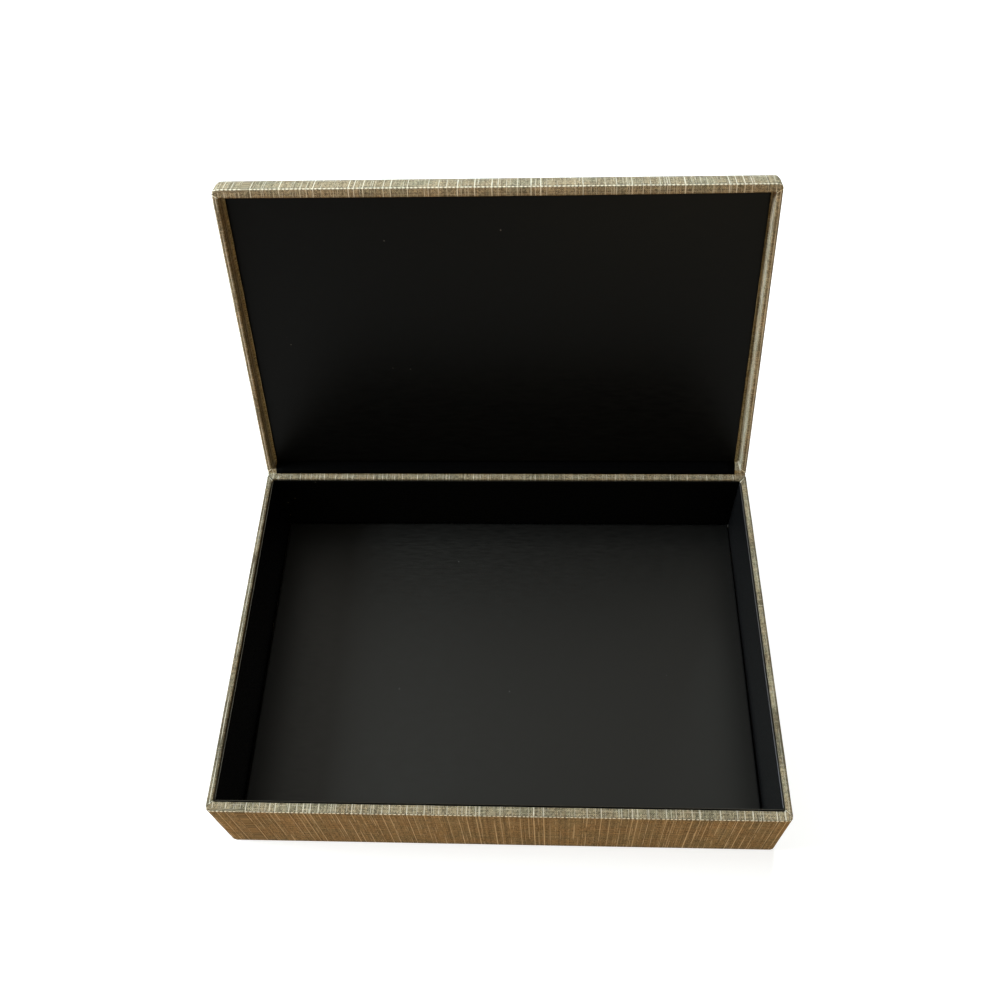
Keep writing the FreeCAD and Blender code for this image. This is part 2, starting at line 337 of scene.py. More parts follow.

# %% [markdown]
# ## Cloth is never quite flat
# Glue, slubs and the board's own dents leave the surface gently uneven, and a mitre is a ridge beside a
# fine groove. Both are made by moving points along their normals, by a sixth of a millimetre at most. It
# is too little to see as a shape, but it breaks up the straight highlights along the rims. The lists
# give the height and the tone of a mitre at each distance from it, in millimetres: a groove of painted
# shadow, a pale edge that is partly wear and partly a painted highlight, painted shade a little past it,
# and on the side wall a little tuck. The lid's folded edge is broader, with a paler painted highlight.

# %% Ridges, grooves and unevenness
ridge_at = [-0.5, -0.2, -0.08, 0.0, 0.1, 0.3, 0.6, 1.2, 2.2]
ridge_lift = [0.0, -0.03, -0.10, -0.08, 0.09, 0.13, 0.10, 0.04, 0.0]
seam_at = [-0.5, -0.3, -0.1, 0.0, 0.08, 0.2, 0.45, 0.8, 1.5, 2.4]
# Seam tones: below zero is painted shadow in the groove and painted shade past the folded edge; above zero is pale
# wear with a painted highlight.
base_seam = [0.0, -0.5, -1.0, -0.9, 0.3, 1.0, 0.6, 0.0, -0.45, 0.0]
lid_seam = [0.0, -0.6, -1.0, -0.6, 0.6, 1.0, 1.0, 0.8, -0.2, 0.0]
tuck_at, tuck_width = 3.4, 0.5
swell, swell_size = 0.05 * MM, 14 * MM
ripple_share, ripple_size = 0.6, 3.2 * MM
print("a mitre's folded edge stands", max(ridge_lift), "mm proud")


def mitre_lift(seam_distance, tuck):
    """Height of the folded edge beside each mitre, and of the small tuck behind it, by station."""
    distance = seam_distance / MM
    ridge = np.interp(distance, ridge_at, ridge_lift)
    return (ridge + tuck * np.exp(-((distance - tuck_at) / tuck_width) ** 2)) * MM


def settle(piece, seed):
    """Moves each point along its normal by its lift and by a little slow noise."""
    mesh = piece.data
    values = {mark: np.zeros(len(mesh.vertices), np.float32) for mark in ("lift", "loose")}
    for mark, held in values.items():
        mesh.attributes[mark].data.foreach_get("value", held)
    for vertex, lift, free in zip(mesh.vertices, values["lift"], values["loose"]):
        if free or lift:
            wave = noise.noise(vertex.co / swell_size + Vector((seed, 0, 0)))
            ripple = noise.noise(vertex.co / ripple_size + Vector((0, seed, 0)))
            uneven = float(free) * swell * (wave + ripple_share * ripple)
            vertex.co += vertex.normal * (float(lift) + uneven)
    for mark in values:
        mesh.attributes.remove(mesh.attributes[mark])
    mesh.update()


def swing_open(piece):
    """Turns a piece that was shaped shut to its place on the open lid."""
    piece.data.transform(swing)
    return piece

# %% [markdown]
# ## Cloth around the base
# The cloth is one closed sheet: its good side runs from under the floor, up, over the rim and 18 mm down
# inside, and its back runs home again against the boards. The mitre's ridge is strongest on the rim.

# %% Base cross-section
turn_in, turn_under = 18 * MM, 15 * MM
foot_radius = 2.65 * MM
base_section = Section()
for inset in (turn_under, 9 * MM, 5 * MM, 3.4 * MM):
    base_section.outer(inset, 0, style="plain", lift=0)
for inset, height in bend((foot_radius, foot_radius), foot_radius, 0, -90, 6):
    base_section.outer(inset, height, lift=0.3)
for height in np.linspace(5 * MM, rim_z - 4 * MM, 14):
    base_section.outer(0, height, lift=0.55)
# Fold marks across the top fold: 1 on the crest, for pale wear and a painted highlight; -0.7 on either side, for
# painted shade.
crest = [0, -0.7, 0.45, 1, 0.45, -0.7, 0]
top_fold = bend((fold_radius, rim_z - fold_radius), fold_radius, -90, -180, 7)
for (inset, height), mark in zip(top_fold, crest):
    base_section.outer(inset, height, fold=mark)
inner_fold = 0.5 * MM
for across in (0.25, 0.5, 0.75):
    base_section.inner(inner_fold, rim_z, across=across)
for offset, height in bend((0, rim_z - inner_fold), inner_fold, 180, 90, 4):
    base_section.inner(inner_fold - offset, height)
# The cloth turned down inside carries painted shade (fold -0.8), where it shows in the gap above the liners.
for height in np.linspace(rim_z - 3 * MM, rim_z - turn_in, 4):
    base_section.inner(0, height, lift=0.6, fold=-0.8)
base_outside_count = len(base_section.points)
for height in (rim_z - turn_in, rim_z - cloth):
    base_section.inner(cloth, height, lift=0)
for height in (rim_z - cloth, cloth):
    base_section.outer(cloth, height, lift=0)
base_section.outer(turn_under, cloth, style="plain", lift=0)
print("base section:", len(base_section.points), "points")

# %% Marks on a wrap
side_fold, end_blotch, full_lift = 0.3, 0.3, 0.3
rim_band = 0.9 * MM


def wrap_marks(section, good_side, seam_distance, along, side, tuck, blotchy, seam_tone, pale_seam):
    """The marks of every ring point. Side walls have softer folds and darker rims than end walls."""
    lift = np.array([point[5] for point in section.points])
    lift[good_side:] = 0
    fold = np.array([point[6] for point in section.points])
    loose = (lift > 0) * 1.0
    mitred = np.clip(lift / full_lift, 0, 1)
    rim_level = next(point[3] for point in section.points if point[4] == "rim")
    on_rim = np.array([abs(point[3] - rim_level) < rim_band for point in section.points])
    seam = np.interp(seam_distance / MM, seam_at, seam_tone)
    pale = [pale_seam + (1 - pale_seam) * point[2] for point in section.points] * mitred
    every = np.ones(len(along))
    return {"lift": np.outer(lift, mitre_lift(seam_distance, tuck)), "loose": np.outer(loose, every),
            "fold": np.outer(fold, every) * np.where(np.outer(fold > 0, side), side_fold, 1.0),
            "edge": np.outer(np.ones(len(lift)), along),
            "seam": np.outer(pale, np.maximum(seam, 0)) + np.outer(mitred, np.minimum(seam, 0)),
            "rim": np.outer(on_rim * loose, np.where(side, blotchy, end_blotch * blotchy))}

# %% Base cloth
def wrapped(name, section, corners, rings, good_side, seed, capped=False, **wear_and_painted_light):
    """A wrap from its rings: a closed loop of rings, or, if capped, a shell with its two ends filled."""
    rows, columns = rings.shape[:2]
    outside = walk.ring(half_x, half_y, half_y, *corners)
    places, wall = cloth_places(rings, section, outside)
    places = {side: place.reshape(-1, 2) for side, place in places.items()}
    points = rings.reshape(-1, 3)
    faces = quads(rows, columns, not capped)
    corner_places = [places[wall[face[0] % columns]][c] for face in faces for c in face]
    marks = wrap_marks(section, good_side, from_seam(outside), walked(outside), wall % 2 == 1, **wear_and_painted_light)
    for row in (0, rows - 1) if capped else ():
        grid = np.array([(x, y, rings[row, 0, 2]) for y in walk.ys for x in walk.xs])
        ends = grid_quads(len(points), len(walk.xs), len(walk.ys))
        points = np.concatenate([points, grid])
        faces += ends
        corner_places += [points[c][:2] for face in ends for c in face]
        for mark, values in marks.items():
            free = 1.0 if mark == "loose" and row < good_side else 0.0
            marks[mark] = np.concatenate([np.ravel(values), np.full(len(grid), free)])
    piece = new_piece(name, points, faces, marks, np.array(corner_places))
    settle(piece, seed)
    return piece


base_corners, base_inner_corners = (2.95 * MM, 1.4 * MM), (1.2 * MM, 3.4 * MM)
base_rings = rings_of(base_section, base_corners, front_wall, base_inner_corners)
base_cloth = wrapped("base_cloth", base_section, base_corners, base_rings, base_outside_count, seed=3.0,
                     tuck=0.10, blotchy=1.0, seam_tone=base_seam, pale_seam=0.35)

# %% [markdown]
# ## Cloth over the lid
# The lid's cloth is a single sheet over the top, down the walls, over the rim and on to the inside of the
# panel. Its section therefore starts in the middle of the top, and the gap that the rings leave there is
# filled with a grid. It is shaped shut and swung open.

# %% Lid cross-section and cloth
panel_and_cloth, crown_radius = 2.7 * MM, 2.75 * MM
lid_card_top = lid_top_z - panel_and_cloth
lid_section = Section()
for inset in (corner_reach, 12 * MM, 6 * MM, 3.8 * MM):
    lid_section.outer(inset, lid_top_z, style="plain", lift=0.0001)
crown = bend((crown_radius, lid_top_z - crown_radius), crown_radius, 180, 270, 9)
for (inset, height), lift in zip(crown, np.linspace(0.001, 0.4, len(crown))):
    lid_section.outer(inset, height, lift=lift)
for height in np.linspace(lid_top_z - 4 * MM, lid_rim_z + 3 * MM, 4):
    lid_section.outer(0, height, lift=0.6)
# Fold marks on the lid's rim fold: above 0.9 the crest becomes a broad band of painted highlight.
broad_crest = [0, 0.2, 0.9, 1.6, 0.9, 0.2, 0]
rim_fold = bend((fold_radius, lid_rim_z + fold_radius), fold_radius, -90, 0, 7)
for (inset, height), mark in zip(rim_fold, broad_crest):
    lid_section.outer(inset, height, fold=mark)
for across in (0.25, 0.5, 0.75):
    lid_section.inner(inner_fold, lid_rim_z, across=across)
for offset, height in bend((0, lid_rim_z + inner_fold), inner_fold, 0, 90, 4):
    lid_section.inner(inner_fold - offset, height)
for height in np.linspace(lid_rim_z + 2.5 * MM, lid_card_top - 1 * MM, 4):
    lid_section.inner(0, height, lift=0.6)
lid_section.inner(-0.3 * MM, lid_card_top - 0.3 * MM, lift=0.3)
for offset in (-1 * MM, -5 * MM, -turn_on):
    lid_section.inner(offset, lid_card_top, lift=0)
lid_outside_count = len(lid_section.points)
lid_section.inner(-turn_on, lid_card_top + cloth, lift=0)
for height in (lid_card_top + cloth, lid_rim_z + cloth):
    lid_section.inner(cloth, height, lift=0)
for height in (lid_rim_z + cloth, lid_top_z - cloth):
    lid_section.outer(cloth, height, lift=0)
lid_section.outer(corner_reach, lid_top_z - cloth, style="plain", lift=0)
lid_corners, lid_inner_corners = (3.35 * MM, 1.2 * MM), (0.8 * MM, 1.0 * MM)
lid_front_bow = 0.5 * MM
lid_rings = rings_of(lid_section, lid_corners, lid_front_wall, lid_inner_corners, lid_front_bow)
lid_cloth = wrapped("lid_cloth_wrap", lid_section, lid_corners, lid_rings, lid_outside_count, seed=11.0,
                    capped=True, tuck=0.16, blotchy=0.5, seam_tone=lid_seam, pale_seam=1.0)
swing_open(lid_cloth)

# %% [markdown]
# ## The sheet under the base
# Under the floor, the middle of the cloth lies flush inside the edges that were turned under. It is a
# slab with rounded rims, made with a walk of its own: rings over one face, around the edge and back over
# the other face, and a grid that fills the middle of both.

# %% Slabs with soft edges
card_corner = [0.1, 0.22, 0.3333, 0.5, 0.6667, 0.78, 0.9]
margin, shoulder, corner_radius = 3 * MM, 1.2 * MM, 0.4 * MM


def slab(name, wide, deep, thick, soften, step, bow=None, core_glint_share=None):
    """A level sheet from z = 0 to z = thick, with soft edges, a cut-edge mark and an optional bow."""
    path = Walk(wide - margin, deep - margin, step, card_corner)
    round_off = min(soften, thick / 2)
    cuts = (0, 0, 0.5, 1)
    foot = bend((round_off, round_off), round_off, 0, -90, 4)
    top = bend((round_off, thick - round_off), round_off, -90, -180, 4)
    profile = [(margin, 0, 0), (shoulder, 0, 0)] + [(*place, cut) for place, cut in zip(foot, cuts)]
    profile += [(*place, cut) for place, cut in zip(top, cuts[::-1])]
    profile += [(shoulder, thick, 0), (margin, thick, 0)]
    rings = []
    for inset, height, _ in profile:
        ring = path.ring(wide - inset, deep - inset, deep - inset, max(corner_radius - inset, 0))
        rings.append(np.column_stack([ring, np.full(len(ring), height)]))
    points = np.concatenate(rings)
    faces = quads(len(rings), len(rings[0]), False)
    cut = [mark for _, _, mark in profile for _ in rings[0]]
    for height in (0, thick):
        grid = np.array([(x, y, height) for y in path.ys for x in path.xs])
        faces += grid_quads(len(points), len(path.xs), len(path.ys))
        points = np.concatenate([points, grid])
        cut += [0] * len(grid)
    places = np.array([points[c][:2] for face in faces for c in face])
    if core_glint_share is not None:
        cut = [mark * core_glint_share(x / wide, y / deep) for mark, (x, y, _) in zip(cut, points)]
    if bow is not None:
        points[:, 2] += [bow(x / wide, y / deep) for x, y, _ in points]
    return new_piece(name, points, faces, {"cut": np.array(cut)}, places)


sheet_low, sheet_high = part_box("base_bottom_sheet")
bottom_sheet = slab("base_bottom_cloth", sheet_high.x, sheet_high.y, cloth, soften=0.12 * MM, step=5 * MM)

# %% [markdown]
# ## Black cards
# The lining is black card, cut to size and dropped in: four upright cards around the walls, one on the
# floor and one inside the lid. A scaled cube would pass for a card from afar, but its edges would be too
# sharp and its face too flat, so each card is a slab, as above. The upright ones are glued along their
# edges and bow inward by a fifth of a millimetre at mid span. Cut edges show the grey core, some more
# than others: how much each shows is partly the core and partly a painted glint, set by how the light
# catches that edge. The two level cards were cut by hand and are a millimetre or so out of square.

# %% Upright cards
card_bow = 0.2 * MM


def glued_bow(u, v):
    """How far an upright card stands off its wall, by place along it and up it, each from -1 to 1."""
    return card_bow * (1 - u * u) * (0.5 + 0.5 * v) * (1 - 0.3 * u)


def upright(name, node, face_axis, inward, core_and_glint):
    """A card that fills a CAD node's box: made level, then stood up with its good face inward."""
    low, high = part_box(node)
    centre, size = (low + high) / 2, high - low
    length = size.y if face_axis == 0 else size.x
    thick = size.x if face_axis == 0 else size.y
    card = slab(name, length / 2, size.z / 2, thick, soften=0.3 * MM, step=8 * MM, bow=glued_bow,
                core_glint_share=lambda u, v: core_and_glint)
    face = Vector((inward, 0, 0)) if face_axis == 0 else Vector((0, inward, 0))
    up = Vector((0, 0, 1))
    turn = Matrix((up.cross(face), up, face)).transposed().to_4x4()
    card.data.transform(Matrix.Translation(centre - face * thick / 2) @ turn)
    return card


# How grey each liner's cut edge is: the core, plus a painted glint where the edge catches the light.
liners = {"left": (0, 1, 1.0), "right": (0, -1, 0.75), "front": (1, 1, 0.6), "rear": (1, -1, 0.1)}
cards = {}
for place, (axis, inward, core_and_glint) in liners.items():
    cards[place] = upright(f"card_{place}", f"base_{place}_liner", axis, inward, core_and_glint)

# %% Floor card and lid card
def laid_card(name, low, high, soften, core_glint_share, off_square, foot=0.0, spread=0.0):
    """A level card between two corners; its sides are trimmed by off_square above foot, spread below."""
    centre, size = (low + high) / 2, high - low
    card = slab(name, size.x / 2, size.y / 2, size.z, soften, step=7 * MM, core_glint_share=core_glint_share)
    for vertex in card.data.vertices:
        u, v = 2 * vertex.co.x / size.x, 2 * vertex.co.y / size.y
        vertex.co.x -= u * (off_square(u > 0, v) if vertex.co.z >= foot else -spread)
    card.data.transform(Matrix.Translation((centre.x, centre.y, low.z)))
    return card


def floor_trim(is_right, v):
    """Most of it is gone at the front right."""
    return (0.9 if is_right else 0.2) * MM * (1 - v) / 2


def lid_trim(is_right, v):
    """Most of it is gone at the right end of the hinge."""
    return (1.7 if is_right else 0.4) * MM * (1 + v) / 2


floor_low, floor_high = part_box("base_floor_lining")
# The floor card shows a grey line only along its rear edge: the core and a painted glint.
cards["floor"] = laid_card("card_floor", floor_low, floor_high, soften=0.35 * MM,
                           core_glint_share=lambda u, v: 0.45 * (v > 0.98), off_square=floor_trim,
                           foot=0.6 * MM, spread=0.4 * MM)
lid_card_margin, lid_card_rear_margin, lid_card_thick = 1.3 * MM, 0.55 * MM, 1 * MM
lid_card_x = half_x - side_wall - lid_card_margin
lid_card_low = Vector((-lid_card_x, -(half_y - lid_front_wall - lid_card_margin),
                       lid_card_top - lid_card_thick))
lid_card_high = Vector((lid_card_x, half_y - side_wall - lid_card_rear_margin, lid_card_top))
cards["lid"] = swing_open(laid_card("card_lid", lid_card_low, lid_card_high, soften=0.3 * MM,
                                    core_glint_share=lambda u, v: 0.1, off_square=lid_trim))

# %% [markdown]
# ## Strips along the hinge
# Two strips lie along the hinge. A black one hides the inside of the lid's rear wall, and the
# bookcloth spine covers both rear faces and is what really holds the lid on. A strip is a path seen from
# the side, carried along the width, with a front and a back skin. The black one's ends are cut at an
# angle, so a little bookcloth shows in the corners beside it.

# %% A strip along the width
def strip(name, path, back, wide, step, down_start=0.0, trim=None):
    """A sheet whose good side follows path, a list of (y, z); trim shortens each row left and right."""
    xs = np.linspace(-wide, wide, round(2 * wide / step) + 1)
    loop = list(path) + list(back[::-1])
    rows, columns = len(loop), len(xs)
    trims = np.zeros((len(path), 2)) if trim is None else np.array(trim)
    shares = 1 - np.concatenate([trims, trims[::-1]]) / wide
    spots = [[x * share[int(x > 0)] for x in xs] for share in shares]
    points = [(x, y, z) for (y, z), row in zip(loop, spots) for x in row]
    travelled = walked(np.array(path))
    down = np.concatenate([travelled, travelled[::-1]]) + down_start
    faces, places = [], []
    for j in range(rows):
        k = (j + 1) % rows
        for i in range(columns - 1):
            faces.append((j * columns + i, j * columns + i + 1, k * columns + i + 1, k * columns + i))
            ends = ((i, j), (i + 1, j), (i + 1, k), (i, k))
            places += [(spots[m][n], down[m]) for n, m in ends]
    for i in (0, columns - 1):
        for j in range(len(path) - 1):
            ring = (j, j + 1, rows - 2 - j, rows - 1 - j)
            faces.append(tuple(r * columns + i for r in ring))
            places += [(xs[i], down[r]) for r in ring]
    marks = {mark: np.zeros(len(points)) for mark in ("fold", "seam", "rim")}
    marks["edge"] = np.array([x for _ in loop for x in xs])
    return new_piece(name, points, faces, marks, np.array(places))


strip_thick, strip_ease = 0.25 * MM, 0.35 * MM
inner_rear = half_y - side_wall
strip_wide = half_x - side_wall - 0.3 * MM


def over_rim(thick, sags):
    """Down the inside of the lid's rear wall, around its rim and out to the rear, thick off the board."""
    rear, level, reach = inner_rear - thick, lid_rim_z - thick, strip_ease + thick
    path = [(rear, lid_card_top - 0.05 * MM), (rear, lid_rim_z + 4 * MM), (rear, lid_rim_z + 0.5 * MM)]
    path += [(inner_rear + strip_ease - reach * math.cos(a), lid_rim_z + strip_ease - reach * math.sin(a))
             for a in np.radians((20, 45, 70))]
    ends = zip((inner_rear + 0.8 * MM, half_y - 1.2 * MM, half_y - 0.2 * MM), sags)
    return path + [(y, level - sag) for y, sag in ends]


strip_face = over_rim(strip_thick, (0, 0.05 * MM, 0.3 * MM))
strip_back = over_rim(0, (0, 0, 0))
strip_trim = [(1.4 * MM, 2.7 * MM), (1.9 * MM, 3.1 * MM)] + [(2.4 * MM, 3.5 * MM)] * (len(strip_face) - 2)
hinge_strip = swing_open(strip("hinge_strip", strip_face, strip_back, strip_wide, 6 * MM, trim=strip_trim))

# %% [markdown]
# ## The spine bends
# When the lid shuts, the spine has to lie straight, and when it opens, the spine folds sharply at the
# hinge line. That share depends on where the folded point ends up, so it is found by repeating the sum
# until it settles.

# %% Spine cloth
spine_wide = half_x - 0.4 * MM
fold_reach = 0.9 * MM
toward_lid = Vector((0, math.sin(open_angle), 1 + math.cos(open_angle))).normalized()


def folded(y, z):
    """Where a point of the straight spine lies when the lid is open."""
    flat = Vector((0, y, z)) - hinge_at
    share = 0.5
    for _ in range(60):
        turned = Matrix.Rotation(-open_angle * share, 3, "X") @ flat
        t = min(max((turned.dot(toward_lid) + fold_reach) / (2 * fold_reach), 0.0), 1.0)
        share = 0.5 * share + 0.5 * t * t * (3 - 2 * t)
    place = turned + hinge_at
    return place.y, place.z


near_fold = hinge_at.z + np.array([-3, -2, -1.5, -1.1, -0.8, -0.55, -0.35, -0.18, 0,
                                   0.18, 0.35, 0.55, 0.8, 1.1, 1.5, 2, 3]) * MM
spine_heights = np.concatenate([np.linspace(1 * MM, hinge_at.z - 5 * MM, 12), near_fold,
                                np.linspace(hinge_at.z + 5 * MM, lid_top_z - 1 * MM, 3)])
spine_face = [folded(half_y + cloth, z) for z in spine_heights]
spine_back = [folded(half_y + 0.01 * MM, z) for z in spine_heights]
spine = strip("spine", spine_face, spine_back, spine_wide, 4 * MM, down_start=half_y)

# %% [markdown]
# ## Sums made of nodes
# Every finish is a tree of nodes. Linking them by hand is fine for three or four, but a sum such as "which
# thread am I on" takes dozens. So a small class makes a node and its links in one call, and gives short
# names to the common ones: sum, plus, times, most (the larger of two), mix, grade (a value carried from
# one range to another) and vector.

# %% The node kit
class NodeKit:
    """Short names for the nodes that add, compare, mix and grade in one tree."""

    def __init__(self, tree):
        self.tree = tree

    def node(self, kind, inputs=(), **settings):
        made = self.tree.nodes.new("ShaderNode" + kind)
        for key, value in settings.items():
            setattr(made, key, value)
        for socket, value in dict(inputs).items():
            if isinstance(value, bpy.types.NodeSocket):
                self.tree.links.new(value, made.inputs[socket])
            else:
                made.inputs[socket].default_value = value
        return made

    def sum(self, operation, *values):
        return self.node("Math", dict(enumerate(values)), operation=operation).outputs[0]

    def plus(self, first, *others):
        for other in others:
            first = self.sum("ADD", first, other)
        return first

    def times(self, a, b):
        return self.sum("MULTIPLY", a, b)

    def most(self, a, b):
        return self.sum("MAXIMUM", a, b)

    def mix(self, share, a, b, blend="MIX"):
        return self.node("Mix", {0: share, 6: a, 7: b}, data_type="RGBA", blend_type=blend).outputs[2]

    def grade(self, value, low, high, start=0.0, stop=1.0, smooth=True):
        kind = "SMOOTHSTEP" if smooth else "LINEAR"
        return self.node("MapRange", {0: value, 1: low, 2: high, 3: start, 4: stop},
                         interpolation_type=kind).outputs[0]

    def spread(self, value, low, high):
        return self.grade(value, 0, 1, low, high, smooth=False)

    def vector(self, x, y, z=0.0):
        return self.node("CombineXYZ", {0: x, 1: y, 2: z}).outputs[0]


def tone(r, g, b):
    return (r, g, b, 1.0)

# %% [markdown]
# ## A finish
# A finish is a material with one shader and a node kit of its own. It adds what cloth and card are made
# of: cloudy (slow noise), dice (one random number for each whole number), specks, and the marks that the
# mesh carries. A number that is the same all over is set straight on the shader, so that other programs
# can read it.

# %% The finish kit
class Finish(NodeKit):
    """A material, with short names for its noises, its marks and its shader's sockets."""

    def __init__(self, name, roughness, specular=0.3, sheen=0.0, metallic=0.0, gloss=(1, 1, 1)):
        self.material = bpy.data.materials.new(name)
        self.material.use_nodes = True
        super().__init__(self.material.node_tree)
        self.shader = self.tree.nodes["Principled BSDF"]
        values = {"Roughness": roughness, "Specular IOR Level": specular, "Sheen Weight": sheen,
                  "Metallic": metallic, "Specular Tint": (*gloss, 1.0)}
        for socket, value in values.items():
            self.shader.inputs[socket].default_value = value

    def cloudy(self, vector, scale, detail=2.0, roughness=0.5):
        return self.node("TexNoise", {"Vector": vector, "Scale": scale, "Detail": detail,
                                      "Roughness": roughness}).outputs["Fac"]

    def dice(self, x, y=0.0):
        spot = self.vector(x, y)
        return self.node("TexWhiteNoise", {"Vector": spot}, noise_dimensions="2D").outputs["Value"]

    def specks(self, vector, scale, near, far):
        spots = self.node("TexVoronoi", {"Vector": vector, "Scale": scale})
        return self.grade(spots.outputs["Distance"], near, far, 1.0, 0.0)

    def mark(self, name):
        return self.node("Attribute", attribute_name=name).outputs["Fac"]

    def colour(self, value):
        self.tree.links.new(value, self.shader.inputs["Base Color"])

    def relief(self, height, distance, strength):
        bump = self.node("Bump", {"Height": height, "Distance": distance, "Strength": strength})
        self.tree.links.new(bump.outputs[0], self.shader.inputs["Normal"])

    def rough(self, value):
        self.tree.links.new(value, self.shader.inputs["Roughness"])

# %% [markdown]
# ## The weave
# Bookcloth is a plain weave: every thread goes over one and under the next. An image of cloth would blur
# close up, so the weave is worked out for each point from its place in the flat cloth: which thread lies
# across, which lies along, which of the two is on top there, and how high its crown stands.

# %% The weave
thread, thread_wander = 0.55 * MM, 0.12 * MM
print("threads across the front:", round(2 * half_x / thread))


class Weave:
    """A point's place in the plain weave: its threads, the one on top, its crown, and their dice."""

    def __init__(self, f):
        place = f.node("SeparateXYZ", {0: f.node("UVMap", uv_map="weave").outputs[0]})
        self.flat = f.vector(place.outputs[0], place.outputs[1])
        wander = f.times(f.sum("SUBTRACT", f.cloudy(self.flat, 60.0, 1.0), 0.5), thread_wander)
        self.u = f.plus(place.outputs[0], wander)
        self.v = f.sum("SUBTRACT", place.outputs[1], wander)
        counts = [f.sum("DIVIDE", place, thread) for place in (self.u, self.v)]
        thread_a, thread_b = [f.sum("FLOOR", count) for count in counts]
        ridge_a, ridge_b = [f.sum("SINE", f.times(f.sum("FRACT", count), math.pi)) for count in counts]
        self.over = f.sum("MODULO", f.sum("ABSOLUTE", f.plus(thread_a, thread_b)), 2.0)
        ridges = [f.vector(ridge, ridge, ridge) for ridge in (ridge_b, ridge_a)]
        self.crown = f.mix(self.over, *ridges)
        self.dice_a, self.dice_b = f.dice(thread_a, 3.7), f.dice(17.3, thread_b)
        self.dice_ab = f.dice(thread_a, thread_b)

# %% [markdown]
# ## Slub yarns
# What gives this cloth its look is the slub yarn, spun thick and pale. The bold slubs run one way, at
# uneven distances, and fade in and out along their length; finer ones cross them. The cloth is counted
# off in bands, a die is thrown for each, and each band that wins holds one slub.

# %% Slub yarns
def yarn(f, across, along, cell, seed, chance, half_width, run, least):
    """How far a point lies on a thick thread: straight lines, one to a cell at most, that come and go."""
    place = f.sum("DIVIDE", across, cell)
    number = f.sum("FLOOR", place)
    offset = f.spread(f.dice(number, seed), 0.15, 0.85)
    apart = f.times(f.sum("ABSOLUTE", f.sum("SUBTRACT", f.sum("FRACT", place), offset)), cell)
    fade = f.cloudy(f.vector(f.times(number, 7.3), f.times(along, 1 / run)), 1.0, 2.0)
    body = f.grade(fade, least, least + 0.12)
    wide = f.times(f.grade(fade, least, 0.75, 0.5, 1.25, smooth=False), half_width)
    line = f.grade(f.sum("DIVIDE", apart, wide), 0.45, 1.15, 1.0, 0.0)
    chosen = f.sum("LESS_THAN", f.dice(number, seed + 4.1), chance)
    strength = f.spread(f.dice(number, seed + 8.3), 0.55, 1.0)
    return f.times(f.times(line, body), f.times(chosen, strength))


def slubs(f, w):
    """How far a point lies on a pale yarn: a bold or fine one along, or a finer one across."""
    bold = yarn(f, w.u, w.v, 4.4 * MM, 2.0, chance=0.86, half_width=0.29 * MM, run=30 * MM, least=0.37)
    fine = yarn(f, w.u, w.v, 2.3 * MM, 31.0, chance=0.70, half_width=0.20 * MM, run=13 * MM, least=0.44)
    weft = yarn(f, w.v, w.u, 4.1 * MM, 57.0, chance=0.55, half_width=0.20 * MM, run=16 * MM, least=0.47)
    hair = yarn(f, w.v, w.u, 1.7 * MM, 83.0, chance=0.55, half_width=0.15 * MM, run=8 * MM, least=0.48)
    crossing = f.most(f.times(weft, 0.58), f.times(hair, 0.40))
    return f.most(f.most(bold, f.times(fine, 0.72)), crossing)

# %% [markdown]
# ## The ground
# Between the slubs the yarns are khaki: brown in some places and a greenish grey in others, and each
# thread, and each crossing of two threads, has a shade of its own. The crown of each thread is painted
# lighter and the hollows between threads darker: painted highlight and painted shade at the scale of the
# weave. The rims are darker in patches, the side rims more than the end ones.

# %% The ground
def khaki(f, w):
    mottle = f.cloudy(w.flat, 70.0, 3.0, 0.6)
    ground = f.mix(f.grade(mottle, 0.35, 0.65), tone(0.283, 0.205, 0.113), tone(0.230, 0.196, 0.120))
    ground = f.mix(w.over, ground, f.mix(0.55, ground, tone(0.37, 0.32, 0.225)))
    fuzz = f.grade(f.cloudy(w.flat, 1100.0, 2.0, 0.7), 0.25, 0.75, -0.34, 0.34)
    clump = f.grade(f.cloudy(w.flat, 420.0, 2.0, 0.6), 0.3, 0.7, -0.18, 0.18)
    # The rims are darker in patches, the side rims more than the end ones.
    blotch = f.times(f.grade(f.cloudy(w.flat, 42.0, 2.0), 0.32, 0.62, -0.62, 0.02), f.mark("rim"))
    crossing, thread_a = f.spread(w.dice_ab, -0.36, 0.36), f.spread(w.dice_a, -0.22, 0.22)
    thread_b = f.spread(w.dice_b, -0.18, 0.18)
    shade = f.most(f.plus(crossing, fuzz, clump, blotch, thread_a, thread_b, 1.0), 0.42)
    # Painted highlight on the crowns of the threads and painted shade in the hollows between them.
    light = f.times(shade, f.spread(w.crown, 0.50, 1.22))
    ground = f.mix(1.0, ground, f.vector(light, light, light), blend="MULTIPLY")
    dark = yarn(f, w.u, w.v, 3.3 * MM, 67.0, chance=0.62, half_width=0.34 * MM, run=22 * MM, least=0.42)
    return f.mix(f.times(dark, 0.5), ground, tone(0.10, 0.062, 0.028))

# %% [markdown]
# ## Folds, mitres and the whole finish
# A fold is pale on its crest, in dashes: partly wear, because only the threads on top are rubbed, and partly a
# painted highlight. Its crease gets painted shade. A mitre has a pale folded edge, again wear and a painted
# highlight, beside a groove of painted shadow. The marks on the mesh say where.

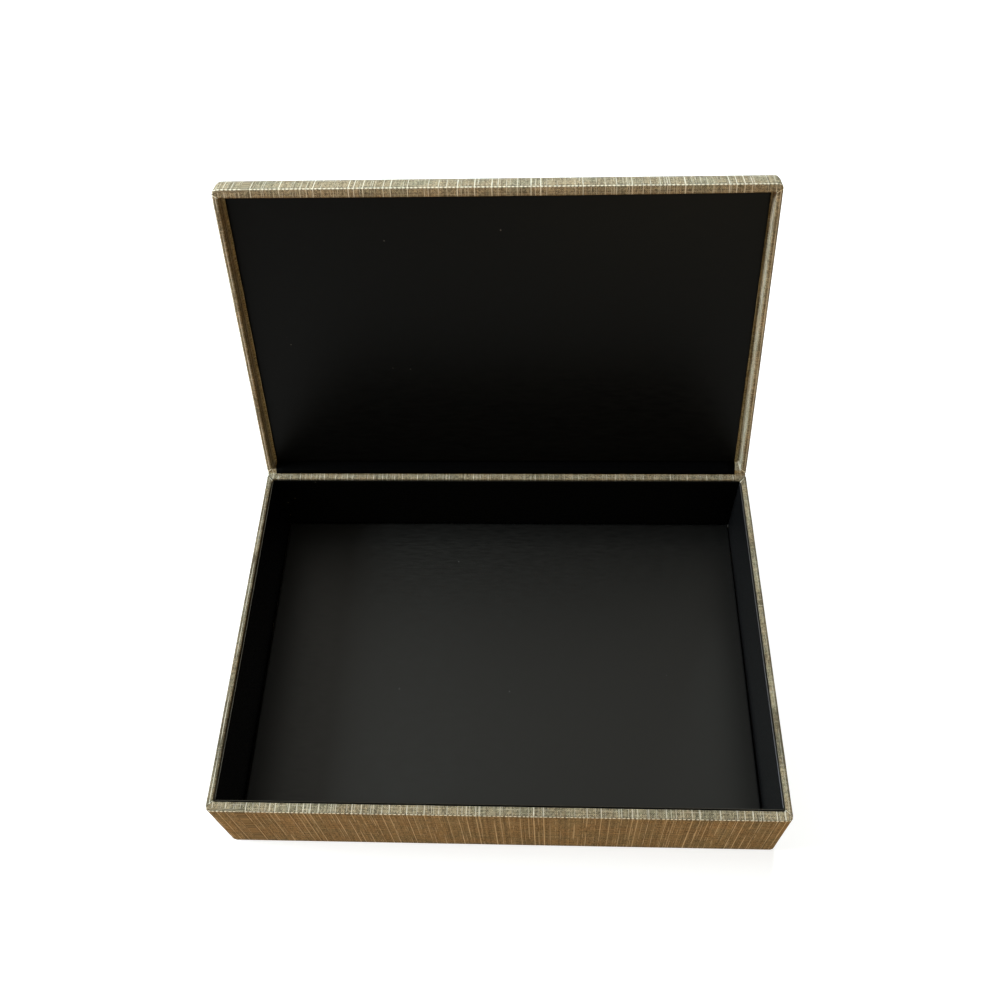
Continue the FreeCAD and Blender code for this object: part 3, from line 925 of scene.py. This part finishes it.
# %% Slub bookcloth
def wear_and_painted_light(f, w, dressed):
    """The colour with the wear, painted highlights and painted shade of folds and mitres, and how far each point
    is on a crest.
    """
    fold, seam = f.mark("fold"), f.mark("seam")
    # Painted shade: a fold mark below zero darkens the colour in creases.
    dressed = f.mix(f.grade(fold, 0.0, -0.7, 0.0, 0.75), dressed, tone(0.06, 0.045, 0.025))
    # Pale crest dashes, partly wear and partly painted highlight; a fold mark above 0.9 fills them into a solid
    # painted highlight.
    beat = f.plus(f.sum("DIVIDE", f.mark("edge"), 2.2 * MM), f.times(f.cloudy(w.flat, 90.0, 2.0), 1.3))
    dash = f.grade(f.sum("SINE", f.times(beat, 2 * math.pi)), -0.55, 0.25)
    dash = f.most(dash, f.grade(fold, 0.9, 1.6, 0.0, 0.65))
    crest = f.times(f.grade(fold, 0.1, 0.75), dash)
    # A mitre's pale folded edge: wear and a painted highlight.
    crest = f.most(crest, f.grade(seam, 0.1, 0.9, 0.0, 0.95))
    # A mitre's groove: painted shadow.
    dressed = f.mix(f.grade(seam, 0.0, -0.9, 0.0, 0.88), dressed, tone(0.03, 0.025, 0.018))
    return f.mix(f.times(crest, 0.95), dressed, tone(1.0, 0.94, 0.76)), crest


def slub_bookcloth():
    f = Finish("slub_bookcloth", roughness=0.9, specular=0.05, sheen=0.03)
    w = Weave(f)
    pale = slubs(f, w)
    slub_tone = f.mix(w.dice_ab, tone(0.90, 0.83, 0.68), tone(0.68, 0.61, 0.47))
    colour, crest = wear_and_painted_light(f, w, f.mix(pale, khaki(f, w), slub_tone))
    f.colour(colour)
    height = f.times(w.crown, f.grade(w.dice_ab, 0, 1, 0.7, 1.0))
    height = f.plus(height, f.times(pale, 0.7))
    f.relief(f.plus(height, f.times(crest, 0.8)), 0.2 * MM, 1.0)
    return f.material


bookcloth = slub_bookcloth()
print(bookcloth.name, "uses", len(bookcloth.node_tree.nodes), "nodes")

# %% [markdown]
# ## Black card and black strip
# The lining card is dyed paper over a grey core. Its face is nearly black, with a faint satin shine and the
# fine horizontal grain of the paper mill, and dust always settles on it. The cut mark shows the core as a
# grey line, with a painted glint where an edge catches the light. The left, front and rear liners take a
# darker copy of the card with almost no shine, which is painted shade, and the right liner a brighter copy
# with a bluish gloss, which is a painted reflection. The strip in the hinge is softer: a fine black cloth,
# painted darker than its dye, which is painted shade.

# %% Black finishes
def black_card(name, face, specular, roughness, gloss=(1, 0.985, 0.93)):
    f = Finish(name, roughness, specular, gloss=gloss)
    at = f.node("TexCoord").outputs["Object"]
    spot = f.node("SeparateXYZ", {0: at}).outputs
    grain = f.cloudy(f.vector(f.times(spot[0], 0.12), spot[1], spot[2]), 900.0, 3.0, 0.6)
    base = f.mix(grain, tone(face * 0.78, face * 0.77, face * 0.74),
                 tone(face * 1.25, face * 1.24, face * 1.16))
    base = f.mix(f.grade(f.cloudy(at, 14.0, 2.0), 0.3, 0.7, 0.0, 0.35), base,
                 tone(face * 1.35, face * 1.33, face * 1.2))
    dust = f.times(f.specks(at, 95.0, 0.025, 0.055), f.grade(f.cloudy(at, 37.0, 1.0), 0.60, 0.68))
    base = f.mix(f.times(dust, 0.35), base, tone(0.22, 0.21, 0.20))
    # The grey of the cut edges: the card's core, and the colour of the painted glint on them.
    core_and_glint = f.mix(f.cloudy(at, 1400.0, 2.0), tone(0.034, 0.029, 0.022), tone(0.095, 0.083, 0.064))
    f.colour(f.mix(f.mark("cut"), base, core_and_glint))
    f.rough(f.grade(grain, 0.3, 0.7, roughness - 0.04, roughness + 0.05))
    f.relief(grain, 0.03 * MM, 0.35)
    return f.material


def black_strip():
    f = Finish("black_strip", roughness=0.7, specular=0.01)
    place = f.node("SeparateXYZ", {0: f.node("UVMap", uv_map="weave").outputs[0]}).outputs
    weave = f.times(*[f.sum("SINE", f.times(place[k], 14000.0)) for k in (0, 1)])
    fluff = f.cloudy(f.vector(place[0], place[1]), 300.0, 3.0)
    # A tone darker than black dye alone: painted shade along the hinge.
    f.colour(f.mix(fluff, tone(0.0005, 0.0005, 0.0005), tone(0.0014, 0.0013, 0.0013)))
    f.relief(weave, 0.04 * MM, 0.4)
    return f.material


floor_card = black_card("black_card_satin", 0.0024, 0.31, 0.38, (1, 0.98, 0.87))
# The darker copy for the left, front and rear liners: painted shade.
wall_card = black_card("black_card_wall", 0.0006, 0.03, 0.28)
# The brighter copy for the right liner, with a bluish gloss: a painted reflection.
painted_reflection_card = black_card("black_card_painted_reflection", 0.0018, 0.43, 0.34, (0.84, 0.87, 1.0))
lid_card = black_card("black_card_lid", 0.0010, 0.058, 0.32)
strip_cloth = black_strip()
blacks = (floor_card, wall_card, painted_reflection_card, lid_card, strip_cloth)
print("black finishes:", ", ".join(finish.name for finish in blacks))

# %% [markdown]
# ## What is hidden
# Nobody sees the greyboard, the gummed tape or the magnets, but they are part of the box, and a reader may
# take it apart. Greyboard is pulp with dark and pale flecks, the tape is brown kraft paper, and the magnets
# are nickel plated.

# %% Hidden finishes
def flecked(name, dark, pale, scale, fleck, roughness):
    f = Finish(name, roughness=roughness, specular=0.2)
    at = f.node("TexCoord").outputs["Object"]
    pulp = f.cloudy(at, scale, 5.0, 0.65)
    base = f.mix(f.grade(pulp, 0.35, 0.65), dark, pale)
    f.colour(f.mix(f.times(f.specks(at, scale * 1.4, 0.08, 0.2), 0.5), base, fleck))
    f.relief(pulp, 0.05 * MM, 0.4)
    return f.material


def nickel_plate():
    f = Finish("nickel_plate", roughness=0.28, specular=0.5, metallic=1.0)
    at = f.node("TexCoord").outputs["Object"]
    brushed = f.cloudy(at, 1800.0, 2.0)
    f.colour(f.mix(brushed, tone(0.52, 0.50, 0.46), tone(0.66, 0.64, 0.60)))
    f.rough(f.grade(f.cloudy(at, 420.0, 3.0), 0.3, 0.7, 0.22, 0.36))
    f.relief(brushed, 0.01 * MM, 0.3)
    return f.material


greyboard = flecked("greyboard", tone(0.20, 0.19, 0.17), tone(0.34, 0.32, 0.29), 500.0,
                    tone(0.10, 0.09, 0.08), 0.9)
kraft = flecked("kraft_tape", tone(0.30, 0.19, 0.10), tone(0.42, 0.28, 0.16), 700.0,
                tone(0.22, 0.13, 0.07), 0.7)
inner_finishes = {"board": greyboard, "ply": greyboard, "stays": kraft, "magnets": nickel_plate()}
for node, piece in frame["nodes"].items():
    finish = inner_finishes.get(node.split("_")[-1])
    if finish:
        piece.data.materials.clear()
        piece.data.materials.append(finish)
        print(node, "has the finish", finish.name)

# %% [markdown]
# ## Dressing the box
# Each new piece takes its finish, rides on the tray that carries it, and stands for the plain
# solid that it covers. The spine is the one piece that bends, so it rides on neither tray.

# %% Finish, carrier and stand-in of each piece
dressing = [(base_cloth, bookcloth, "slub_cloth", "base", "base_side_cloth"),
            (bottom_sheet, bookcloth, "slub_cloth", "base", "base_bottom_sheet"),
            (lid_cloth, bookcloth, "slub_cloth", "lid", "lid_cloth"),
            (spine, bookcloth, "slub_cloth", None, "spine_cloth"),
            (hinge_strip, strip_cloth, "black_strip", "lid", "hinge_lining"),
            (cards["floor"], floor_card, "black_card", "base", "base_floor_lining"),
            (cards["lid"], lid_card, "black_card", "lid", "lid_panel_lining")]
# The right liner takes the copy with the painted reflection, the other liners the darker copy with painted shade.
dressing += [(cards[place], painted_reflection_card if place == "right" else wall_card, "black_card", "base",
              f"base_{place}_liner") for place in liners]
for piece, finish, slot, body, node in dressing:
    piece.data.materials.append(finish)
    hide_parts(node)
    if body:
        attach(piece, body)
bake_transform(spine)
print("dressed", len(dressing), "pieces")

# %% [markdown]
# ## What the cloth was cut to
# The size of each sheet's blank is worked out and printed. A side of the base takes its height, the width
# of the rim and the turn-in, and the lid's blank also has the strip that is turned on to the panel.

# %% Flat sizes of the sheets
base_side = rim_z + side_wall + turn_in
base_blank = (2 * half_x + 2 * base_side, 2 * half_y + 2 * base_side + front_wall - side_wall)
base_area = 2 * half_x * (2 * base_side + front_wall - side_wall) + 4 * half_y * base_side
base_area += 4 * (half_x * half_y - (half_x - turn_under) * (half_y - turn_under))
lid_side = lid_top_z - lid_rim_z + side_wall + lid_card_top - lid_rim_z + turn_on
lid_extra = lid_front_wall - side_wall
lid_blank = (2 * half_x + 2 * lid_side, 2 * half_y + 2 * lid_side + lid_extra)
spine_long = spine_heights[-1] - spine_heights[0]
for label, blank in (("base", base_blank), ("lid", lid_blank), ("spine", (2 * spine_wide, spine_long))):
    print(label, "blank", [round(v / MM, 1) for v in blank], "mm")

# %% [markdown]
# ## Floor
# A pale floor runs out of view on all sides. To the camera it is nearly white and keeps a soft shadow; for
# the light that bounces off it, it is a warmer and darker table, so that the front wall isn't flooded
# from below. The node that tells the two apart is needed again for the sky.

# %% Floor
def looked_at(f):
    """1 for what the camera sees, also in gloss or through glass, and 0 for light that bounces."""
    path = f.node("LightPath").outputs
    return f.most(f.most(path["Is Camera Ray"], path["Is Glossy Ray"]), path["Is Transmission Ray"])


def pale_floor():
    material = bpy.data.materials.new("pale_floor")
    material.use_nodes = True
    material.node_tree.nodes.clear()
    f = NodeKit(material.node_tree)
    table = f.node("BsdfDiffuse", {"Color": tone(0.55, 0.255, 0.105)}).outputs[0]
    matte = f.node("BsdfDiffuse", {"Color": tone(0.40, 0.40, 0.40)}).outputs[0]
    white = f.node("Emission", {"Strength": 0.74}).outputs[0]
    pale = f.node("AddShader", {0: white, 1: matte}).outputs[0]
    chosen = f.node("MixShader", {0: looked_at(f), 1: table, 2: pale}).outputs[0]
    f.node("OutputMaterial", {"Surface": chosen})
    return material


floor_mesh = bpy.data.meshes.new("floor")
shape = bmesh.new()
floor_reach = 12.0
bmesh.ops.create_circle(shape, cap_ends=True, segments=96, radius=floor_reach)
shape.to_mesh(floor_mesh)
shape.free()
floor = put_in_scene("floor", floor_mesh)
floor.location.z = -0.02 * MM
floor_mesh.materials.append(pale_floor())
floor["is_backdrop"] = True
print("the floor reaches", floor_reach, "m on all sides")

# %% [markdown]
# ## Lamps
# The main light is a large soft lamp above, to the left. A dim, warm one in front lifts the front wall, and
# a third behind lights the top of the open lid. The sky is pale to the eye and dim as a light.

# %% Lamps and sky
def lamp(name, place, target, size, power, colour):
    data = bpy.data.lights.new(name, "AREA")
    data.shape = "DISK"
    data.size = size
    data.energy = power
    data.color = colour
    light = put_in_scene(name, data)
    light.location = place
    light.rotation_euler = (Vector(target) - Vector(place)).to_track_quat("-Z", "Y").to_euler()
    print(name, "lamp:", power, "W from", round(math.dist(place, target), 2), "m away")


lamp("key", (-1.25, 0.05, 0.95), (0, 0.05, 0.1), 0.7, 46.0, (0.80, 0.91, 0.98))
lamp("fill", (0.35, -1.6, 0.55), (0, 0, 0.08), 1.0, 8.8, (1.0, 0.82, 0.44))
lamp("back", (0.25, 1.25, 0.95), (0, 0.1, 0.2), 0.6, 27.0, (0.82, 0.95, 1.0))
world = bpy.data.worlds.new("sky")
bpy.context.scene.world = world
world.use_nodes = True
sky = NodeKit(world.node_tree)
tint = sky.mix(looked_at(sky), tone(0.145, 0.118, 0.078), tone(1, 1, 1))
sky.tree.links.new(tint, sky.tree.nodes["Background"].inputs["Color"])

# %% [markdown]
# ## Camera
# The camera looks down on the open box from in front, turned and rolled by a few degrees, through a normal
# lens. Its three axes are worked out from the pitch, yaw and roll, and set as one matrix, which is
# easier to read than a camera's own angles. The shift slides the picture, as on a view camera, until
# the box sits in the middle of the frame.

# %% Camera
pitch, yaw, roll = (math.radians(angle) for angle in (50.95, -4.40, -3.71))
ahead = Vector((math.sin(yaw) * math.cos(pitch), math.cos(yaw) * math.cos(pitch), -math.sin(pitch)))
level_right = Vector((math.cos(yaw), -math.sin(yaw), 0))
level_up = level_right.cross(ahead)
right = level_right * math.cos(roll) + level_up * math.sin(roll)
up = level_up * math.cos(roll) - level_right * math.sin(roll)
eye = bpy.data.cameras.new("eye")
eye.sensor_width = 36
eye.lens = 38.03
eye.shift_x = 0.0023
eye.shift_y = -0.1788
eye_at = (0.02845, -0.24131, 0.63498)
camera = put_in_scene("camera", eye)
turn = Matrix((right, up, -ahead)).transposed().to_4x4()
camera.matrix_world = Matrix.Translation(eye_at) @ turn
bpy.context.scene.camera = camera
bpy.context.scene.view_settings.view_transform = "Standard"
print("the camera stands", round(math.dist(eye_at, (0, 0, 0)), 2), "m from the box")

# %% [markdown]
# ## Outer sizes
# The dressed box has to fill the same space as the CAD model, so the outer sizes of both are printed.

# %% Sizes
seen_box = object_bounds()
for label, (low, high) in (("CAD model", cad_box), ("dressed", seen_box)):
    print(label, [round(v / MM, 2) for v in high - low], "mm")
